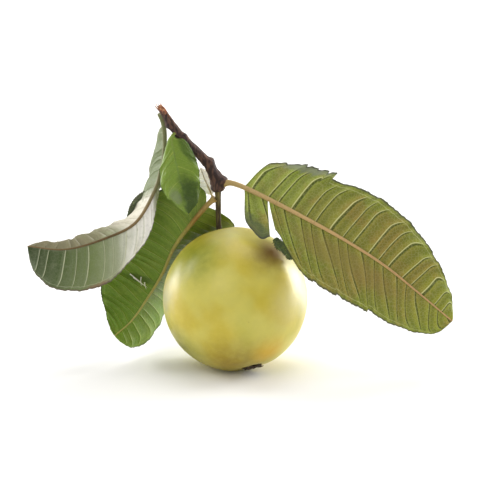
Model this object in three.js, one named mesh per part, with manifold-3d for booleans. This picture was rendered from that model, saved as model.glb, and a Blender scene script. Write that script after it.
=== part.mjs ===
// A guava as picked: the fruit hangs by its stalk from a short piece of twig that keeps its leaves.
// It stands on the small flat spot under the fruit. Millimetres, +Z up, origin at the flat spot.
import * as THREE from 'three';
import { mergeVertices } from 'three/addons/utils/BufferGeometryUtils.js';
import Module from 'manifold-3d';

const wasm = await Module();
wasm.setup();

// ---- driving dimensions ----
const FRUIT_RADIUS = 30.4;
const FRUIT_TAPER = 0.008; // how much narrower the blossom half is, as a share of the radius
const FRUIT_CENTRE = new THREE.Vector3(0, 0, 29.5); // low enough to flatten the fruit where it rests
const STALK_END = new THREE.Vector3(-0.235, 0.375, 0.897).normalize(); // fruit centre to stalk
const STALK_DIMPLE = { depth: 1.8, spread: 0.13 };
const BLOSSOM_DIMPLE = { depth: 1.8, spread: 0.17 };
const CALYX_RADIUS = 3.4;
const CALYX_HEIGHT = 1.5;
const SEPALS = 5;
const SEPAL_LENGTH = 3.2;
const GAP = 0.3; // between touching pieces
const BLADE_THICKNESS = 1;

const vector = (p) => new THREE.Vector3(...p);
const curveThrough = (points) => new THREE.CatmullRomCurve3(points.map(vector), false, 'centripetal');
const TOWARDS_FRONT = [0, -0.956, 0.292];

// ---- solids ----
function solid(geometry) {
  geometry.deleteAttribute('normal');
  geometry.deleteAttribute('uv');
  const merged = mergeVertices(geometry, 1e-4);
  const corners = Array.from(merged.index.array);
  const triangles = [];
  for (let i = 0; i < corners.length; i += 3) {
    const [a, b, c] = corners.slice(i, i + 3);
    if (a !== b && b !== c && c !== a) triangles.push(a, b, c);
  }
  const vertProperties = new Float32Array(merged.attributes.position.array);
  const triVerts = new Uint32Array(triangles);
  return new wasm.Manifold(new wasm.Mesh({ numProp: 3, vertProperties, triVerts }));
}

// The outer body alone, without the pinholes that joining thin walls can leave inside.
function outerBody(manifold) {
  return manifold.decompose().reduce((a, b) => (b.volume() > a.volume() ? b : a));
}

function geometryOf(manifold) {
  const { vertProperties, triVerts } = manifold.getMesh();
  const geometry = new THREE.BufferGeometry();
  geometry.setAttribute('position', new THREE.BufferAttribute(vertProperties, 3));
  geometry.setIndex(new THREE.BufferAttribute(triVerts, 1));
  geometry.computeVertexNormals();
  return geometry;
}

// Moves each vertex of a geometry to where place(x, y, z) puts it.
function shaped(geometry, place) {
  const position = geometry.attributes.position;
  for (let i = 0; i < position.count; i += 1) {
    const moved = place(position.getX(i), position.getY(i), position.getZ(i));
    position.setXYZ(i, moved.x, moved.y, moved.z);
  }
  return geometry;
}

// A round stem along a curve; radius(t) gives its radius from the foot (0) to the far end (1).
function stem(curve, radius, sides, steps, grow = 0) {
  const cylinder = new THREE.CylinderGeometry(1, 1, 1, sides, steps);
  return solid(shaped(cylinder, (x, y, z) => {
    const t = y + 0.5;
    const tangent = curve.getTangentAt(t);
    const across = new THREE.Vector3(0.3, 1, 0.2).cross(tangent).normalize();
    const forward = across.clone().cross(tangent);
    const r = radius(t) + grow;
    return curve.getPointAt(t).addScaledVector(across, x * r).addScaledVector(forward, z * r)
      .addScaledVector(tangent, grow * Math.sign(t - 0.5) * (t === 0 || t === 1 ? 1 : 0));
  }));
}

// ---- fruit ----
function fruitRadius(angle) {
  const taper = 1 - FRUIT_TAPER * (1 - Math.cos(angle));
  const stalkDimple = STALK_DIMPLE.depth * Math.exp(-((angle / STALK_DIMPLE.spread) ** 2));
  const fromBlossom = Math.PI - angle;
  const blossomDimple = BLOSSOM_DIMPLE.depth * Math.exp(-((fromBlossom / BLOSSOM_DIMPLE.spread) ** 2));
  return FRUIT_RADIUS * taper - stalkDimple - blossomDimple;
}

// The fruit turned on its axis, with dimples at both ends; grow makes it larger all over.
function wholeFruit(grow = 0) {
  const steps = 40;
  const profile = [];
  for (let i = 0; i <= steps; i += 1) {
    const angle = Math.PI * (1 - i / steps);
    const r = fruitRadius(angle) + grow;
    const across = i === 0 || i === steps ? 0 : r * Math.sin(angle);
    profile.push(new THREE.Vector2(across, r * Math.cos(angle)));
  }
  const lathe = new THREE.LatheGeometry(profile, 48);
  lathe.applyQuaternion(new THREE.Quaternion().setFromUnitVectors(vector([0, 1, 0]), STALK_END));
  lathe.translate(...FRUIT_CENTRE);
  return solid(lathe);
}

function fruit() {
  const below = new THREE.BoxGeometry(FRUIT_RADIUS * 2, FRUIT_RADIUS * 2, FRUIT_RADIUS);
  below.translate(0, 0, -FRUIT_RADIUS / 2);
  return wholeFruit().subtract(solid(below));
}

// ---- calyx: the dried flower remains, a low ring with sepals spread round it ----
function calyx() {
  const pieces = new THREE.CylinderGeometry(CALYX_RADIUS, CALYX_RADIUS * 0.8, CALYX_HEIGHT * 2, 20);
  let body = solid(pieces);
  for (let i = 0; i < SEPALS; i += 1) {
    const sepal = new THREE.ConeGeometry(1.9, SEPAL_LENGTH, 8);
    sepal.scale(1, 1, 0.38);
    sepal.rotateX(Math.PI / 2);
    sepal.rotateX(-0.12);
    sepal.translate(0, CALYX_HEIGHT * 0.62, CALYX_RADIUS + SEPAL_LENGTH * 0.22);
    sepal.rotateY((2 * Math.PI * i) / SEPALS);
    body = body.add(solid(sepal));
  }
  const scar = new THREE.SphereGeometry(CALYX_RADIUS * 0.6, 16, 10);
  scar.scale(1, 0.55, 1);
  scar.translate(0, CALYX_HEIGHT * 1.15, 0);
  body = body.subtract(solid(scar));
  const outwards = STALK_END.clone().negate();
  const seat = FRUIT_CENTRE.clone().addScaledVector(outwards, fruitRadius(Math.PI));
  const turn = new THREE.Quaternion().setFromUnitVectors(vector([0, 1, 0]), outwards);
  const matrix = new THREE.Matrix4().compose(seat, turn, vector([1, 1, 1]));
  return body.transform(matrix.elements).subtract(wholeFruit(GAP));
}

// ---- twig: knobbly where the fruit and the leaves join it, thin and torn at the far end ----
const TWIG_CURVE = curveThrough([
  [-7.2, 12.6, 73], [-7.6, 13, 77.2], [-10.6, 12.3, 83.7], [-14, 11.3, 88.4], [-18.8, 10, 93.7],
  [-24, 8.8, 99.5], [-27.5, 8, 105], [-31.5, 7.5, 111.5],
]);
const TWIG_KNOTS = [
  { at: 0.09, side: [1, 0, 0.1], size: 1.5 },
  { at: 0.28, side: [0.7, 0, 0.7], size: 1.1 },
  { at: 0.8, side: [-1, -0.3, -0.3], size: 1 },
];

function twigRadius(t) {
  const knob = 0.7 * Math.exp(-(((t - 0.07) / 0.1) ** 2));
  return 2.4 - 0.9 * t + knob - (t === 0 ? 0.9 : 0);
}

function twig(grow = 0) {
  let body = stem(TWIG_CURVE, twigRadius, 12, 24, grow);
  for (const knot of TWIG_KNOTS) {
    const ball = new THREE.IcosahedronGeometry(knot.size + grow, 2);
    const place = TWIG_CURVE.getPointAt(knot.at);
    place.addScaledVector(vector(knot.side).normalize(), twigRadius(knot.at));
    ball.translate(...place);
    body = body.add(solid(ball));
  }
  return body;
}

// ---- fruit stalk ----
const STALK_CURVE = curveThrough([[-6.3, 10.2, 54], [-7, 12, 60], [-7.1, 12.6, 67], [-7.3, 12.6, 74]]);

function stalkRadius(t) {
  return 0.95 + 0.5 * Math.exp(-((t / 0.2) ** 2)) + 0.3 * t;
}

function stalk(grow = 0) {
  const body = stem(STALK_CURVE, stalkRadius, 10, 10, grow);
  return grow > 0 ? body : body.subtract(wholeFruit(GAP)).subtract(twig(GAP));
}

// ---- leaves ----
// Each leaf is a blade on a midrib. facing is where its veined underside looks, at the blade's base,
// middle and tip. width is each half's greatest width, and widest and full shape its outline. lean
// is how far its side veins lean towards the tip, as a share of the length. swing turns them back
// towards the base, fold and curl bend the half away from facing, all in degrees at the blade's
// base, middle and tip. tear is a rip from the margin to near the midrib, with a hanging flap.
const LEAVES = [
  {
    name: 'leaf_right',
    color: 0x7b8240,
    midrib: [[-5, 12.5, 76.5], [-2, 10.5, 77.2], [2.5, 7, 76.8], [16, 0.5, 72], [29.5, -4, 66],
      [43, -6.5, 59], [61.5, -7, 47], [76.5, -7, 34.5], [90.5, -4.5, 21.5]],
    petiole: 0.08,
    ribRadius: [1.2, 0.5],
    grid: [24, 10],
    facing: [TOWARDS_FRONT, TOWARDS_FRONT, TOWARDS_FRONT],
    upper: { width: 23.8, widest: 0.8, full: [0.55, 0.6], lean: 0.07, swing: [12, 0, 0],
      fold: [10, 12, 14], curl: [25, 15, 10] },
    lower: { width: 21, widest: 0.85, full: [0.6, 0.45], lean: 0.18, swing: [0, 0, 0],
      fold: [-12, -3, 6], curl: [-6, 6, 10] },
    tear: { at: 0.125, side: -1, left: 3, open: 14, forward: 5 },
  },
  {
    name: 'leaf_back',
    color: 0x6b8330,
    midrib: [[-8.5, 12.6, 70], [-12.5, 13, 66], [-18, 13.5, 59], [-25.5, 14, 48], [-30.5, 13.5, 36.5],
      [-37, 11.5, 26], [-43.5, 8, 17.5], [-50.5, 3, 12.5]],
    petiole: 0.07,
    ribRadius: [1.2, 0.5],
    grid: [24, 10],
    facing: [[0.2, -0.95, 0.3], [-0.2, -0.93, 0.3], [-0.3, -0.8, 0.5]],
    upper: { width: 30, widest: 0.8, full: [0.66, 0.6], lean: 0.08, swing: [23, 5, 0],
      fold: [0, 80, 50], curl: [10, 8, 0] },
    lower: { width: 25, widest: 0.95, full: [0.95, 0.6], lean: 0.1, swing: [24, 0, 0],
      fold: [14, -2, 0], curl: [0, -6, 0] },
  },
  {
    name: 'leaf_left',
    color: 0x8a9072,
    midrib: [[-30.8, 9.5, 107.5], [-29.2, 10, 99], [-29.5, 9, 89.5], [-31, 8.5, 82.5], [-33, 7, 76],
      [-41.5, 1.5, 62.5], [-53.5, -2, 57], [-70.5, -3.5, 52.5], [-86.5, 2.5, 52]],
    petiole: 0.06,
    ribRadius: [1.1, 0.5],
    grid: [24, 10],
    facing: [[-0.3, -0.93, 0.2], [-0.25, -0.9, 0.3], [0, -0.93, 0.35]],
    upper: { width: 18.5, widest: 2.2, full: [1.5, 0.6], lean: 0.13, swing: [0, 0, 0],
      fold: [0, 4, 8], curl: [0, 10, 20] },
    lower: { width: 16, widest: 0.9, full: [0.6, 0.6], lean: 0.1, swing: [0, 0, 0],
      fold: [35, 60, 60], curl: [15, 20, 20] },
  },
  {
    name: 'leaf_small',
    color: 0x6f8c35,
    midrib: [[-24.3, 8.4, 100], [-26.3, 6, 98.6], [-25.6, 4.8, 93.4], [-24.6, 2.8, 88.5],
      [-22.6, 0.5, 81], [-20.3, -1.5, 74.5], [-19.5, -1, 67.3]],
    petiole: 0.06,
    ribRadius: [0.9, 0.5],
    grid: [14, 6],
    facing: [[0.1, 0.95, -0.3], [0.1, 0.95, -0.3], [0.1, 0.95, -0.3]],
    upper: { width: 9.8, widest: 0.85, full: [0.6, 0.7], lean: 0.14, swing: [0, 0, 0],
      fold: [-20, -15, -10], curl: [-30, -30, -20] },
    lower: { width: 9, widest: 0.85, full: [0.6, 0.7], lean: 0.14, swing: [0, 0, 0],
      fold: [-15, -10, -10], curl: [-20, -30, -20] },
  },
  {
    name: 'young_leaf',
    color: 0xbdb591,
    midrib: [[-9.5, 15.7, 69.5], [-11, 16.7, 73], [-12.8, 17.2, 77], [-14.5, 17, 82]],
    petiole: 0.08,
    ribRadius: [0.6, 0.5],
    grid: [10, 4],
    facing: [[-0.3, -0.9, 0.3], [-0.3, -0.9, 0.3], [-0.3, -0.9, 0.3]],
    upper: { width: 3.4, widest: 0.85, full: [0.6, 0.7], lean: 0.1, swing: [0, 0, 0],
      fold: [10, 12, 14], curl: [0, 0, 0] },
    lower: { width: 3.6, widest: 0.85, full: [0.6, 0.7], lean: 0.1, swing: [0, 0, 0],
      fold: [10, 12, 14], curl: [0, 0, 0] },
  },
];
const MIN_HALF_WIDTH = 0.4;

// The value at u of a quantity given at the base, the middle and the tip.
function along(values, u) {
  const [base, middle, tip] = values;
  const weights = [2 * (u - 0.5) * (u - 1), 4 * u * (1 - u), 2 * u * (u - 0.5)];
  return base * weights[0] + middle * weights[1] + tip * weights[2];
}

function alongVector(values, u) {
  const parts = [0, 1, 2].map((axis) => along(values.map((value) => value[axis]), u));
  return vector(parts).normalize();
}

function halfWidth(half, s) {
  const [fullBase, fullTip] = half.full;
  const beforeWidest = s ** half.widest < 0.5;
  const outline = Math.sin(Math.PI * s ** half.widest) ** (beforeWidest ? fullBase : fullTip);
  return Math.max(MIN_HALF_WIDTH, half.width * outline);
}

// How far out and back a half blade has gone at a distance from the midrib, and its slope there.
function halfArc(distance, width, fold, curl) {
  const steps = 8;
  let out = 0;
  let back = 0;
  for (let i = 0; i < steps; i += 1) {
    const reached = (distance * (i + 0.5)) / steps;
    const angle = THREE.MathUtils.degToRad(fold + curl * (reached / width) ** 2);
    out += (Math.cos(angle) * distance) / steps;
    back += (Math.sin(angle) * distance) / steps;
  }
  const slope = THREE.MathUtils.degToRad(fold + curl * (distance / width) ** 2);
  return { out, back, slope };
}

// Where the blade's surface is: u runs from base to tip along the side veins, v across (-1 to 1),
// and lift is the height above its middle surface.
function bladePoint(leaf, curve, u, v, lift) {
  const reach = Math.abs(v);
  const half = v < 0 ? leaf.lower : leaf.upper;
  const lean = half.lean * Math.min(1, u / 0.12) * (1 - u) ** 0.7 * reach ** 1.3;
  const s = THREE.MathUtils.clamp(u + lean, 0, 1);
  const t = leaf.petiole + (1 - leaf.petiole) * s;
  const middle = curve.getPointAt(t);
  const tangent = curve.getTangentAt(t);
  const facing = alongVector(leaf.facing, s);
  facing.addScaledVector(tangent, -facing.dot(tangent)).normalize();
  const torn = leaf.tear && Math.sign(v) === leaf.tear.side;
  const onFlap = torn && u < leaf.tear.at - 0.01;
  const swing = along(half.swing, s) + (onFlap ? (leaf.tear.open * u) / leaf.tear.at : 0);
  const side = facing.clone().cross(tangent).multiplyScalar(v < 0 ? -1 : 1);
  side.multiplyScalar(Math.cos(THREE.MathUtils.degToRad(swing)));
  side.addScaledVector(tangent, -Math.sin(THREE.MathUtils.degToRad(swing)));
  const width = halfWidth(half, s);
  const spread = torn && Math.abs(u - leaf.tear.at) < 0.01 ? leaf.tear.left : width;
  const arc = halfArc(reach * spread, width, along(half.fold, s), along(half.curl, s));
  const point = middle.clone().addScaledVector(side, arc.out).addScaledVector(facing, -arc.back);
  const normal = facing.clone().multiplyScalar(Math.cos(arc.slope));
  normal.addScaledVector(side, Math.sin(arc.slope));
  point.addScaledVector(normal, lift);
  return onFlap ? point.addScaledVector(facing, leaf.tear.forward * reach * reach) : point;
}

function leafSolid(leaf) {
  const curve = curveThrough(leaf.midrib);
  const box = new THREE.BoxGeometry(1, 1, 1, ...leaf.grid, 1);
  const thickness = BLADE_THICKNESS * (leaf.upper.width > 5 ? 1 : 0.6);
  const blade = solid(shaped(box, (x, y, z) => bladePoint(leaf, curve, x + 0.5, 2 * y, z * thickness)));
  const [thick, thin] = leaf.ribRadius;
  const rib = stem(curve, (t) => THREE.MathUtils.lerp(thick, thin, t), 8, leaf.grid[0]);
  return outerBody(blade.add(rib).subtract(twig(GAP)).subtract(stalk(GAP)));
}

// ---- the object ----
function part(name, manifold, color, roughness) {
  const material = new THREE.MeshStandardMaterial({ color, roughness, metalness: 0 });
  const mesh = new THREE.Mesh(geometryOf(manifold), material);
  mesh.name = name;
  return mesh;
}

const guava = new THREE.Group();
guava.add(part('fruit', fruit(), 0xbdb45a, 0.4));
guava.add(part('calyx', calyx(), 0x3a2a1c, 0.85));
guava.add(part('fruit_stalk', stalk(), 0x5a4a30, 0.8));
guava.add(part('twig', twig(), 0x46332a, 0.85));
for (const leaf of LEAVES) {
  guava.add(part(leaf.name, leafSolid(leaf), leaf.color, 0.6));
}

export default guava;
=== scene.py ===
"""A guava as picked: the fruit hangs by its stalk from a short piece of twig that keeps its leaves.

Sizes are in millimetres until a mesh is finished, and colours are hexadecimal display values.
"""
import logging
import math
from collections.abc import Callable
from dataclasses import dataclass, field, replace
from enum import Enum
from functools import cached_property

import bmesh
import bpy
import numpy as np
from mathutils import Euler, Matrix, Vector, noise


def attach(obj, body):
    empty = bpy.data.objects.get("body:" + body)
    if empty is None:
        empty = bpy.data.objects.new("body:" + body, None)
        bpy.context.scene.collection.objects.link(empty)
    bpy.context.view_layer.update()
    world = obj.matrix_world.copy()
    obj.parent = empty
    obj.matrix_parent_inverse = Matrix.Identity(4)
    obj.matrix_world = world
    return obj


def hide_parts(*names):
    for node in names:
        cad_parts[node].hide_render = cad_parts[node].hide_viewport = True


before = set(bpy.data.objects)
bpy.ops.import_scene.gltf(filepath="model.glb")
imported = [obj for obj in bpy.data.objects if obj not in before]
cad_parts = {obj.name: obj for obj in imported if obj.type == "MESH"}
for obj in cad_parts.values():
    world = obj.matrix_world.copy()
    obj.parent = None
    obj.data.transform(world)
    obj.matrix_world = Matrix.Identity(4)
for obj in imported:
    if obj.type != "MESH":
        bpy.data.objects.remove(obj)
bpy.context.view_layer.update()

MM = 0.001
SHARP_ANGLE = math.radians(60)
GOLDEN_ANGLE = 2.399  # radians, which spreads whatever is turned by it evenly
Array = np.ndarray
Mesh = bmesh.types.BMesh
Point = tuple[float, float, float]
Stops = tuple[tuple[float, str], ...]  # a ramp's places and colours
Triple = tuple[float, float, float]  # a quantity at the base, the middle and the tip
LEVEL: Triple = (0, 0, 0)
SIDEWAYS: Point = (0.3, 1.0, 0.2)  # runs along none of the twigs and stalks
TOWARDS_FRONT: Point = (0, -0.956, 0.292)
TOWARDS_BACK: Point = (0, 0.956, -0.292)
log = logging.getLogger("guava")


class Slot(Enum):
    """The record's material slots."""

    FRUIT = "fruit_skin"
    CALYX = "dried_calyx"
    STALK = "stalk_skin"
    TWIG = "bark"
    RIGHT_LEAF = "olive_leaf"
    BACK_LEAF = "green_leaf"
    LEFT_LEAF = "pale_leaf"
    SMALL_LEAF = "fresh_leaf"
    YOUNG_LEAF = "cream_leaf"


# ---- numbers ----
def gauss(x: Array | float, width: float) -> Array:
    """A smooth hump that is 1 at 0 and fades over width."""
    return np.exp(-((np.asarray(x, float) / width) ** 2))


def ease(x: Array | float, low: float, high: float) -> Array:
    """A smooth step from 0 at low to 1 at high."""
    share = np.clip((np.asarray(x, float) - low) / (high - low), 0.0, 1.0)
    return share * share * (3 - 2 * share)


def along(values: Triple, u: Array) -> Array:
    """The value at u of a quantity given at the base, the middle and the tip."""
    base, middle, tip = values
    return base * 2 * (u - 0.5) * (u - 1) + middle * 4 * u * (1 - u) + tip * 2 * u * (u - 0.5)


def unit(vectors: Array) -> Array:
    """The vectors at a length of 1."""
    return vectors / np.linalg.norm(vectors, axis=-1, keepdims=True)


def rough(points: Array, scale: float, octaves: int = 3, seed: float = 0.0) -> Array:
    """Fractal noise about 0 at each point.

    Args:
        points: Places in millimetres.
        scale: How many features there are in a millimetre.
        octaves: How many finer layers it has.
        seed: Moves the pattern, so that two pieces differ.

    Returns:
        One value for each point, about -1 to 1.
    """
    shift = Vector((seed, seed * 1.7, -seed))
    return np.array([noise.fractal(Vector(p) * scale + shift, 1.0, 2.0, octaves) for p in points])


@dataclass(frozen=True)
class Spine:
    """A smooth line through points, read by its share of length."""

    points: tuple[Point, ...]
    samples: int = 240
    step: float = 0.004  # to each side, as a share of the length, for a direction

    @cached_property
    def table(self) -> tuple[Array, Array]:
        """The share of length at each sample, and the samples."""
        knots = [Vector(p) for p in self.points]
        knots = [2 * knots[0] - knots[1], *knots, 2 * knots[-1] - knots[-2]]
        spans = len(self.points) - 1
        places = []
        for sample in range(self.samples + 1):
            position = spans * sample / self.samples
            span = min(int(position), spans - 1)
            places.append(self._between(knots[span:span + 4], position - span))
        steps = [0.0] + [(b - a).length for a, b in zip(places, places[1:])]
        shares = np.cumsum(steps)
        return shares / shares[-1], np.array(places)

    @staticmethod
    def _between(knots: list[Vector], share: float) -> Vector:
        """A point between the middle two of four knots, on a centripetal spline."""
        before, start, end, after = knots
        first, middle, last = (math.sqrt((b - a).length) for a, b in zip(knots, knots[1:]))
        leaving = (start - before) / first - (end - before) / (first + middle) + (end - start) / middle
        coming = (end - start) / middle - (after - start) / (middle + last) + (after - end) / last
        leaving, coming = leaving * middle, coming * middle
        return (start + leaving * share + (3 * (end - start) - 2 * leaving - coming) * share ** 2
                + (2 * (start - end) + leaving + coming) * share ** 3)

    def at(self, share: Array) -> tuple[Array, Array]:
        """The points and the directions at shares of the length.

        Args:
            share: Numbers from 0 to 1.

        Returns:
            The points and the unit tangents, one row each.
        """
        low, high = (self._look_up(np.clip(share + d, 0, 1)) for d in (-self.step, self.step))
        return self._look_up(share), unit(high - low)

    def _look_up(self, share: Array) -> Array:
        """The points at shares of the length."""
        shares, places = self.table
        return np.stack([np.interp(share, shares, places[:, axis]) for axis in range(3)], axis=-1)


# ---- shader nodes ----
def paint(code: str) -> tuple[float, float, float, float]:
    """A display colour such as "a0b0c0" as the linear colour that nodes use."""
    parts = [int(code[i:i + 2], 16) / 255 for i in (0, 2, 4)]
    linear = [c / 12.92 if c <= 0.04045 else ((c + 0.055) / 1.055) ** 2.4 for c in parts]
    return (*linear, 1.0)


class Wire:
    """A socket's value, on which Python's arithmetic adds Math nodes."""

    def __init__(self, board: "Board", socket: bpy.types.NodeSocket) -> None:
        """Wraps a socket of a board's node."""
        self.board = board
        self.socket = socket

    def _math(self, operation: str, *values: "Wire | float") -> "Wire":
        """A Math node on the values."""
        return self.board.node("ShaderNodeMath", {"operation": operation}, dict(enumerate(values)))

    def __add__(self, other: "Wire | float") -> "Wire":
        """self + other."""
        return self._math("ADD", self, other)

    __radd__ = __add__

    def __sub__(self, other: "Wire | float") -> "Wire":
        """self - other."""
        return self._math("SUBTRACT", self, other)

    def __rsub__(self, other: float) -> "Wire":
        """other - self."""
        return self._math("SUBTRACT", other, self)

    def __mul__(self, other: "Wire | float") -> "Wire":
        """self * other."""
        return self._math("MULTIPLY", self, other)

    __rmul__ = __mul__

    def __truediv__(self, other: "Wire | float") -> "Wire":
        """self / other."""
        return self._math("DIVIDE", self, other)

    def __abs__(self) -> "Wire":
        """abs(self)."""
        return self._math("ABSOLUTE", self)

    def fraction(self) -> "Wire":
        """What is left above the whole number."""
        return self._math("FRACT", self)

    def to_nearest(self) -> "Wire":
        """The distance to the nearest whole number."""
        return self._math("PINGPONG", self, 0.5)

    def least(self, other: "Wire | float") -> "Wire":
        """The lesser of the two."""
        return self._math("MINIMUM", self, other)

    def ease(self, low: float, high: float) -> "Wire":
        """A smooth step from 0 at low to 1 at high."""
        settings = {"interpolation_type": "SMOOTHSTEP"}
        return self.board.node("ShaderNodeMapRange", settings, {0: self, 1: low, 2: high})


Value = Wire | float | tuple | str


class Board:
    """The nodes of one material, with its Principled shader."""

    def __init__(self, name: str) -> None:
        """Makes the material and takes hold of its shader."""
        self.material = bpy.data.materials.new(name)
        self.material.use_nodes = True
        self.tree = self.material.node_tree
        self.shader = self.tree.nodes["Principled BSDF"]

    def node(self, kind: str, settings: dict, inputs: dict[int | str, Value], out: int = 0) -> Wire:
        """Adds a node.

        Args:
            kind: The node's type.
            settings: What is set on the node before its sockets, with a ramp's stops as "stops".
            inputs: The values or links of its sockets, by index or name; a text is a colour.
            out: Which output is returned.

        Returns:
            The output.
        """
        made = self.tree.nodes.new(kind)
        for key, value in settings.items():
            if key == "stops":
                self._set_stops(made.color_ramp, value)
            else:
                setattr(made, key, value)
        for key, value in inputs.items():
            self.plug(made.inputs[key], value)
        return Wire(self, made.outputs[out])

    @staticmethod
    def _set_stops(ramp: bpy.types.ColorRamp, stops: Stops) -> None:
        """Gives a ramp its stops, which are places and colours."""
        while len(ramp.elements) < len(stops):
            ramp.elements.new(1.0)
        for element, (place, colour) in zip(ramp.elements, stops):
            element.position = place
            element.color = paint(colour)

    def plug(self, socket: bpy.types.NodeSocket, value: Value) -> None:
        """Links a wire to a socket, or sets the socket's value."""
        if isinstance(value, Wire):
            self.tree.links.new(value.socket, socket)
        else:
            socket.default_value = paint(value) if isinstance(value, str) else value

    def set(self, **values: Value) -> None:
        """Sets or links sockets of the shader, with _ for each space in their names."""
        for key, value in values.items():
            self.plug(self.shader.inputs[key.replace("_", " ")], value)

    def place(self) -> Wire:
        """Object coordinates, in metres."""
        return self.node("ShaderNodeTexCoord", {}, {}, 3)

    def stored(self, name: str, out: int = 2) -> Wire:
        """An attribute of the mesh: its number (2) or its vector (1)."""
        return self.node("ShaderNodeAttribute", {"attribute_name": name}, {}, out)

    def parts(self, vector: Wire) -> list[Wire]:
        """The three numbers of a vector."""
        split = self.node("ShaderNodeSeparateXYZ", {}, {0: vector}).socket.node
        return [Wire(self, output) for output in split.outputs]

    def mix(self, first: Value, second: Value, share: Value) -> Wire:
        """Mixes two colours by a share."""
        return self.node("ShaderNodeMix", {"data_type": "RGBA"}, {0: share, 6: first, 7: second}, 2)

    def over(self, base: Value, *layers: tuple[Value, Value]) -> Wire:
        """Lays colours over a base one by one, each by its share."""
        for colour, share in layers:
            base = self.mix(base, colour, share)
        return base

    def ramp(self, share: Value, stops: Stops) -> Wire:
        """A colour from a ramp."""
        return self.node("ShaderNodeValToRGB", {"stops": stops}, {0: share})

    def noise(self, scale: float, detail: float = 3.0, where: Wire | None = None,
              distortion: float = 0.0) -> Wire:
        """Noise about 0.5, with scale features in a metre."""
        values = {"Vector": where or self.place(), "Scale": scale, "Detail": detail,
                  "Distortion": distortion}
        return self.node("ShaderNodeTexNoise", {}, values)

    def cells(self, scale: float, feature: str = "DISTANCE_TO_EDGE") -> Wire:
        """Voronoi cells, with scale of them in a metre: the distance to their edges or centres."""
        return self.node("ShaderNodeTexVoronoi", {"feature": feature},
                         {"Vector": self.place(), "Scale": scale})

    def stretched(self, turn: Point, size: Point) -> Wire:
        """Object coordinates turned by angles and then stretched."""
        values = {0: self.place(), 2: turn, 3: size}
        return self.node("ShaderNodeMapping", {"vector_type": "POINT"}, values)

    def distance(self, centre: Point) -> Wire:
        """The distance in millimetres from a point given in millimetres."""
        point = tuple(c * MM for c in centre)
        metres = self.node("ShaderNodeVectorMath", {"operation": "DISTANCE"},
                           {0: self.place(), 1: point}, 1)
        return metres / MM

    def bump(self, height: Wire, depth: float, strength: float = 1.0) -> Wire:
        """A bump with its depth in millimetres."""
        return self.node("ShaderNodeBump", {}, {"Height": height, "Distance": depth * MM,
                                                "Strength": strength})


# ---- pieces ----
def places(bm: Mesh) -> Array:
    """Where a mesh's vertices are, one row each."""
    return np.array([vert.co for vert in bm.verts])


def move(bm: Mesh, to: Array) -> None:
    """Puts a mesh's vertices where the rows say."""
    for vert, place in zip(bm.verts, to):
        vert.co = place


def store(bm: Mesh, **attributes: Array | float) -> None:
    """Keeps attributes for the finish to read: a number or a vector for each vertex, or one for all."""
    for name, values in attributes.items():
        values = np.broadcast_to(values, len(bm.verts)) if np.ndim(values) < 1 else values
        layers = bm.verts.layers.float if values.ndim == 1 else bm.verts.layers.float_vector
        layer = layers.get(name) or layers.new(name)
        for vert, value in zip(bm.verts, values):
            vert[layer] = float(value) if values.ndim == 1 else Vector(value)


def absorb(bm: Mesh, other: Mesh) -> None:
    """Adds another mesh to a mesh, and frees it."""
    carrier = bpy.data.meshes.new("carrier")
    other.to_mesh(carrier)
    other.free()
    bm.from_mesh(carrier)
    bpy.data.meshes.remove(carrier)


def rod(sides: int, rings: int) -> Mesh:
    """A round bar of radius 1 along Z from 0 to 1, cut into rings."""
    bm = bmesh.new()
    bmesh.ops.create_cone(bm, cap_ends=True, segments=sides, radius1=1, radius2=1, depth=1,
                          matrix=Matrix.Translation((0, 0, 0.5)))
    lengthways = [e for e in bm.edges if abs(e.verts[0].co.z - e.verts[1].co.z) > 0.5]
    bmesh.ops.subdivide_edges(bm, edges=lengthways, cuts=rings - 1, use_grid_fill=True)
    return bm


def outwards(tangent: Array, angle: Array | float, towards: Point = SIDEWAYS) -> Array:
    """The directions away from a line.

    Args:
        tangent: The line's directions, one row each.
        angle: How far round it each one is.
        towards: A direction that the angles are counted from.

    Returns:
        The directions, one row each.
    """
    across = unit(np.cross(np.array(towards), tangent))
    angle = np.asarray(angle)[..., None]
    return across * np.cos(angle) + np.cross(across, tangent) * np.sin(angle)


def bent_rod(spine: Spine, radius: Callable[[Array, Array], Array], sides: int,
             rings: int, towards: Point = SIDEWAYS) -> tuple[Mesh, Array, Array]:
    """A round bar along a spine.

    Args:
        spine: The line it follows.
        radius: Gives the radius for shares of the length and angles round.
        sides: How many sides it has.
        rings: How many rings it is cut into.
        towards: A direction that the angles are counted from.

    Returns:
        The mesh, and the share of length and the angle of each vertex.
    """
    bm = rod(sides, rings)
    was = places(bm)
    share, angle = was[:, 2], np.arctan2(was[:, 1], was[:, 0])
    middle, tangent = spine.at(share)
    size = radius(share, angle) * np.hypot(was[:, 0], was[:, 1])
    move(bm, middle + size[:, None] * outwards(tangent, angle, towards))
    return bm, share, angle


def link(name: str, data: bpy.types.ID) -> bpy.types.Object:
    """Puts data into the scene as an object."""
    made = bpy.data.objects.new(name, data)
    bpy.context.scene.collection.objects.link(made)
    return made


def finish_piece(name: str, bm: Mesh, material: bpy.types.Material,
                 node: str) -> bpy.types.Object:
    """Makes a worked mesh a piece of the object.

    Args:
        name: The piece's name.
        bm: The mesh in millimetres, which is freed.
        material: Its finish.
        node: The CAD node that it replaces.

    Returns:
        The piece.
    """
    bmesh.ops.scale(bm, vec=(MM, MM, MM), verts=bm.verts[:])
    bmesh.ops.recalc_face_normals(bm, faces=bm.faces[:])
    mesh = bpy.data.meshes.new(name)
    bm.to_mesh(mesh)
    bm.free()
    mesh.shade_smooth()
    mesh.set_sharp_from_angle(angle=SHARP_ANGLE)
    mesh.materials.append(material)
    piece = link(name, mesh)
    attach(piece, "root")
    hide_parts(node)
    log.info("%s: %d vertices", name, len(mesh.vertices))
    return piece


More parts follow.
